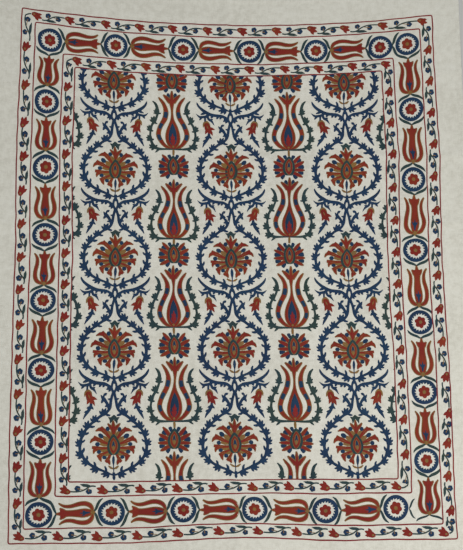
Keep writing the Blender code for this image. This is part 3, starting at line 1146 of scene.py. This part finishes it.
# %% Places of the guard borders' tulips, clockwise from the foot of the left side
OUTER_GUARD = (
    [(-744, y) for y in (-791, -668, -547, -422, -302, -184, -59, 54, 174, 293, 407, 523, 652, 790)],
    [(x, 907) for x in (-707, -583, -451, -325, -200, -73, 57, 185, 314, 437, 580, 729)],
    [(747, 793), (748, 677), (749, 565), (754, 452), (750, 339), (751, 220), (748, 100), (744, -19),
     (748, -139), (750, -256), (755, -378), (758, -505), (749, -608), (746, -718), (748, -834)],
    [(x, -905) for x in (716, 588, 459, 330, 203, 69, -66, -203, -341, -474, -605, -733)],
)
INNER_GUARD = (
    [(-590, y) for y in (-640, -518, -396, -276, -157, -44, 69, 187, 308, 421, 538, 660)],
    [(x, 757) for x in (-553, -428, -300, -174, -45, 81, 212, 337, 461, 585)],
    [(598, y) for y in (649, 535, 420, 302, 183, 66, -48, -164, -283, -404, -525, -645)],
    [(x, -752) for x in (558, 429, 306, 181, 55, -79, -203, -328, -457, -583)],
)
CORNER_REACH = 18.0         # millimetres over which a vine turns a corner
CORNER_CUT = 0.3            # share of that by which it cuts the corner


def along_route(route):
    """A rule that bends what grows upwards along a route on the cloth."""
    places, left, _spread, run = route_through(route, 1.0, 4.0)

    def rule(flat):
        spot = np.column_stack([np.interp(flat[:, 1], run, places[:, axis]) for axis in (0, 1)])
        side = np.column_stack([np.interp(flat[:, 1], run, left[:, axis]) for axis in (0, 1)])
        return spot - side * flat[:, :1]

    return rule, run[-1]


def set_out_guards():
    """Each vine runs from its own tulip to the next, round the corner where there is one."""
    guards = Sketch()
    for loop in (OUTER_GUARD, INNER_GUARD):
        spots = [(np.array(spot, float), number) for number, side in enumerate(loop) for spot in side]
        for (spot, side), (after, next_side) in zip(spots, spots[1:] + spots[:1]):
            guards.join(by_hand(guard_tulip, *spot, -90.0 * side))
            route = [spot, after]
            if side != next_side:
                corner = np.array((after[0], spot[1]) if side % 2 else (spot[0], after[1]))
                ends = [corner + (end - corner) * min(1.0, CORNER_REACH / math.dist(end, corner))
                        for end in route]
                bend = corner + (ends[0] + ends[1] - 2.0 * corner) * CORNER_CUT
                route = [spot, ends[0], bend, ends[1], after]
            rule, length = along_route(route)
            guards.join(make_guard_vine(length).moved(rule))
    return guards


main_border = set_out_main_border()
guards = set_out_guards()
print("wide border:", main_border.faces(), "faces; guards:", guards.faces())

# %% [markdown]
# ## Shader maths
#
# A material's nodes are wired by hand in Blender's editor, and that is hard to read in a script.
# Here a small class stands for the output of a node, so that sums are written as sums: each
# operation adds its own Math node. Colours and vectors go through nodes of their own kind.

# %% A socket that can be reckoned with
class Value:
    """A node's output in a material, for use in sums."""

    def __init__(self, recipe, socket):
        self.recipe = recipe
        self.socket = socket

    def sum(self, operation, *others):
        settings = {"operation": operation}
        return self.recipe.node("ShaderNodeMath", settings, dict(enumerate(others)))

    def __add__(self, other):
        return self.sum("ADD", self, other)

    def __sub__(self, other):
        return self.sum("SUBTRACT", self, other)

    def __rsub__(self, other):
        return self.sum("SUBTRACT", other, self)

    def __mul__(self, other):
        return self.sum("MULTIPLY", self, other)

    def __truediv__(self, other):
        return self.sum("DIVIDE", self, other)

    def __pow__(self, other):
        return self.sum("POWER", self, other)

    __radd__ = __add__
    __rmul__ = __mul__

    def sine(self):
        return self.sum("SINE", self)

    def size(self):
        return self.sum("ABSOLUTE", self)

    def floor(self):
        return self.sum("FLOOR", self)

    def fraction(self):
        return self.sum("FRACT", self)

    def over(self, limit):
        return self.sum("GREATER_THAN", self, limit)

    def between(self, low, high):
        """0 at low, 1 at high, soft at both."""
        settings = {"interpolation_type": "SMOOTHSTEP"}
        return self.recipe.node("ShaderNodeMapRange", settings,
                                {"Value": self, "From Min": low, "From Max": high})


class Recipe:
    """A new material's node tree, filled one node at a time."""

    def __init__(self, name):
        self.material = bpy.data.materials.new(name)
        self.material.use_nodes = True
        self.tree = self.material.node_tree
        self.shader = self.tree.nodes["Principled BSDF"]

    def put(self, socket, content):
        if isinstance(content, Value):
            self.tree.links.new(content.socket, socket)
        else:
            socket.default_value = content

    def node(self, kind, settings=None, sockets=None, output=0):
        """Adds a node: its settings first, then its sockets, and returns one output."""
        made = self.tree.nodes.new(kind)
        for name, setting in (settings or {}).items():
            setattr(made, name, setting)
        by_name = {socket.identifier: socket for socket in made.inputs}
        by_name.update({socket.name: socket for socket in made.inputs if socket.enabled})
        for name, content in (sockets or {}).items():
            self.put(made.inputs[name] if isinstance(name, int) else by_name[name], content)
        outputs = [socket for socket in made.outputs if socket.enabled]
        return Value(self, outputs[output])

    def noise(self, place, scale, detail, roughness=0.5):
        return self.node("ShaderNodeTexNoise", None,
                         {"Vector": place, "Scale": scale, "Detail": detail, "Roughness": roughness})

    def stretched(self, place, scales):
        return self.node("ShaderNodeVectorMath", {"operation": "MULTIPLY"}, {0: place, 1: scales})

    def blend(self, share, first, second, kind="MIX"):
        return self.node("ShaderNodeMix", {"data_type": "RGBA", "blend_type": kind},
                         {"Factor": share, "A": first, "B": second})

    def grey(self, level):
        return self.node("ShaderNodeCombineColor", None, {"Red": level, "Green": level, "Blue": level})

    def parts(self, vector):
        split = self.node("ShaderNodeSeparateXYZ", None, {"Vector": vector}).socket.node
        return Value(self, split.outputs["X"]), Value(self, split.outputs["Y"])

    def bump(self, height, strength, distance, under=None):
        sockets = {"Height": height, "Strength": strength, "Distance": distance}
        if under is not None:
            sockets["Normal"] = under
        return self.node("ShaderNodeBump", None, sockets)

    def finish(self, **sockets):
        for name, content in sockets.items():
            self.put(self.shader.inputs[name.replace("_", " ")], content)
        return self.material


# %% [markdown]
# ## The cotton ground
#
# The ground is a hand-woven cotton of uneven yarn: seen close it is a plain weave of about ten
# threads to the centimetre, and from a step away it looks mottled, with thick places in single
# yarns that run along and across. The weave could be modelled, but a thread less than a
# millimetre wide over four square metres is millions of faces, so it goes into the bump. The
# mottling is two noises, one drawn out along the warp and one along the weft.

# %% Ground cloth material
YARN_PITCH = 1.0            # millimetres from one yarn to the next
COTTON = (0.622, 0.606, 0.535)
COTTON_SHADE = (0.530, 0.512, 0.443)
COTTON_LIGHT = (0.694, 0.686, 0.621)


def make_cotton():
    recipe = Recipe("undyed_cotton")
    cut = recipe.node("ShaderNodeUVMap", {"uv_map": "cut"})
    across, along = recipe.parts(cut)
    wander = recipe.noise(cut, 0.05, 3.0) - 0.5
    warp = (across / YARN_PITCH + wander * 1.4) * math.pi
    weft = (along / YARN_PITCH + wander * 1.4) * math.pi
    over_under = (warp / math.pi).floor() + (weft / math.pi).floor()
    lifted = (over_under * 0.5).fraction().over(0.25)
    weave = warp.sine().size() * lifted + weft.sine().size() * (1.0 - lifted)
    slub_up = recipe.noise(recipe.stretched(cut, (0.70, 0.030, 1.0)), 1.0, 3.0, 0.6)
    slub_side = recipe.noise(recipe.stretched(cut, (0.034, 0.62, 1.0)), 1.0, 3.0, 0.6)
    slubs = slub_up.between(0.35, 0.75) * 0.5 + slub_side.between(0.35, 0.75) * 0.5
    mottle = recipe.noise(cut, 0.045, 4.0, 0.65)
    cloudy = recipe.noise(cut, 0.0045, 3.0, 0.55)
    tone = slubs * 0.46 + mottle.between(0.30, 0.70) * 0.34 + cloudy.between(0.30, 0.70) * 0.20
    colour = recipe.blend(tone.between(0.10, 0.55), (*COTTON_SHADE, 1.0), (*COTTON, 1.0))
    colour = recipe.blend(tone.between(0.45, 0.95), colour, (*COTTON_LIGHT, 1.0))
    # painted shade: the colour darkens where the weave dips between the yarns
    painted_weave_shade = weave.between(0.0, 0.45) * 0.16 + 0.84
    colour = recipe.blend(1.0, colour, recipe.grey(painted_weave_shade), "MULTIPLY")
    height = weave * 0.55 + slubs * 0.55
    fine = recipe.bump(height, 0.55, 0.0004)
    rumple = recipe.noise(cut, 0.020, 3.0, 0.55)
    normal = recipe.bump(rumple, 0.35, 0.0030, fine)
    rough = 0.88 + (1.0 - weave) * 0.08
    return recipe.finish(Base_Color=colour, Roughness=rough, Normal=normal, Sheen_Weight=0.12)


ground.data.materials.append(make_cotton())
print("cotton nodes:", len(ground.data.materials[0].node_tree.nodes))

# %% [markdown]
# ## The thread
#
# All motifs are worked in rows of chain stitch, laid side by side along the shape. Each row is a
# braid of small loops, so under a raking light it shows ridges with V-shaped notches, and the
# colour is darkened between the rows and in the notches as painted shade. The rows come from the
# two numbers kept with each point: the distance off the middle gives the row, and the distance
# along it gives the loop. Every row of a hand-dyed hank also differs a little in tone, which keeps
# large fillings alive.

# %% Thread materials
ROW_WIDTH = 1.55            # millimetres
LOOP_LENGTH = 3.1
#            thread     colour                     roughness  tone range  warmer side colour
THREADS = {
    "madder": ((0.200, 0.0145, 0.0105), 0.70, 0.24, (0.225, 0.028, 0.011)),
    "indigo": ((0.0085, 0.030, 0.078), 0.70, 0.34, (0.010, 0.038, 0.088)),
    "crimson": ((0.200, 0.012, 0.017), 0.70, 0.24, (0.235, 0.018, 0.016)),
    "green": ((0.020, 0.045, 0.053), 0.72, 0.30, (0.028, 0.053, 0.047)),
    "gold": ((0.206, 0.117, 0.0415), 0.66, 0.26, (0.227, 0.121, 0.031)),
}


def make_thread(name):
    colour, roughness, spread, warmer = THREADS[name]
    recipe = Recipe(name + "_thread")
    run = recipe.node("ShaderNodeUVMap", {"uv_map": "run"})
    place = recipe.node("ShaderNodeTexCoord", None, None, output=3)
    along, off = recipe.parts(run)
    row = off / ROW_WIDTH + 0.5
    number = row.floor()
    edge = (row.fraction() - 0.5).size() * 2.0
    loop = (along / LOOP_LENGTH + edge * 0.42 + number * 0.37).fraction()
    braid = (loop - 0.5).size() * 2.0
    ridge_height = 1.0 - edge ** 2.2
    height = ridge_height * (1.0 - braid ** 3.0 * 0.45)
    which = recipe.node("ShaderNodeCombineXYZ", None, {"X": number, "Y": (along / 70.0).floor()})
    row_tone = recipe.node("ShaderNodeTexWhiteNoise", {"noise_dimensions": "2D"}, {"Vector": which})
    patchy = recipe.noise(place, 13.0, 3.0, 0.6).between(0.30, 0.70)
    fuzz = recipe.noise(place, 900.0, 2.0, 0.6)
    tone = 1.0 - spread + (row_tone * 0.40 + patchy * 0.45 + fuzz * 0.35) * spread * 1.5
    # painted shade: darker in the grooves between the rows and in the loops' notches
    tone = tone * (0.66 + ridge_height.between(0.0, 0.7) * 0.34) * (1.0 - braid ** 6.0 * 0.22)
    hue = recipe.noise(place, 5.0, 2.0, 0.5).between(0.35, 0.70)
    dyed = recipe.blend(hue, (*colour, 1.0), (*warmer, 1.0))
    shaded = recipe.blend(1.0, dyed, recipe.grey(tone), "MULTIPLY")
    normal = recipe.bump(height + fuzz * 0.12, 0.75, 0.0006)
    rough = roughness + (1.0 - ridge_height) * 0.16
    return recipe.finish(Base_Color=shaded, Roughness=rough, Normal=normal, Specular_IOR_Level=0.22)


threads = {name: make_thread(name) for name in THREADS}
print("thread materials:", [material.name for material in threads.values()])

# %% [markdown]
# ## From the sketch to the cover
#
# Now each zone of the pattern becomes one object for each thread. The field is trimmed first: a
# Boolean could do that, but the sketch is still flat here, so four straight cuts with bmesh's
# bisect are exact and quick. The field was set out with the lean of the frame lines taken off, so
# that those cuts are straight, and gets it back with the lines. After that every point is
# wavered, moved onto the cloth's folds and lifted by its own height.

# %% Making the pieces
TRIM_INSET = 1.2            # millimetres inside the innermost line's middle
TRIM = tuple(side - math.copysign(TRIM_INSET, side) for side in FRAME_LINES[3])


def trimmed(mesh, left, foot, right, head):
    """Cuts away what lies outside a rectangle."""
    work = bmesh.new()
    work.from_mesh(mesh)
    cuts = (((left, 0), (-1, 0)), ((0, foot), (0, -1)), ((right, 0), (1, 0)), ((0, head), (0, 1)))
    for place, away in cuts:
        geometry = work.verts[:] + work.edges[:] + work.faces[:]
        bmesh.ops.bisect_plane(work, geom=geometry, plane_co=(*place, 0), plane_no=(*away, 0),
                               clear_outer=True)
    work.to_mesh(mesh)
    work.free()


def make_piece(zone, thread, sketch, trim, leans):
    """One zone's stitches in one thread, laid on the cloth."""
    cloud, runs, faces = sketch.packed(thread)
    mesh = bpy.data.meshes.new(f"{zone}_{thread}")
    mesh.from_pydata(cloud.tolist(), [], faces.tolist())
    set_run(mesh, "run", runs)
    if trim:
        trimmed(mesh, *trim)
    flat = np.empty(3 * len(mesh.vertices))
    mesh.vertices.foreach_get("co", flat)
    flat = flat.reshape(-1, 3)
    if leans:
        flat[:, :2] = leaned(flat[:, :2])
    x, y, height = flat.T
    aside, ahead = waver(x, y, ASIDE_WAVES), waver(x, y, AHEAD_WAVES)
    final = on_cloth((x + aside) * MM, (y + ahead) * MM, height * MM)
    mesh.vertices.foreach_set("co", final.ravel())
    mesh.update()
    mesh.shade_smooth()
    mesh.materials.append(threads[thread])
    piece = bpy.data.objects.new(mesh.name, mesh)
    scene.collection.objects.link(piece)
    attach(piece, "root")
    thread + "_thread"
    return piece


for zone, sketch, trim, leans in (("frame", frame_lines, None, True), ("field", field, TRIM, True),
                                  ("border", main_border, None, False), ("guard", guards, None, False)):
    for thread in sketch.parts:
        piece = make_piece(zone, thread, sketch, trim, leans)
        triangles = sum(len(face.vertices) - 2 for face in piece.data.polygons)
        print(piece.name, triangles, "triangles")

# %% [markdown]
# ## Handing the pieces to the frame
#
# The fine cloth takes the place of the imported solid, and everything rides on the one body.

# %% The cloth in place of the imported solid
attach(ground, "root")
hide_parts("ground_cloth")
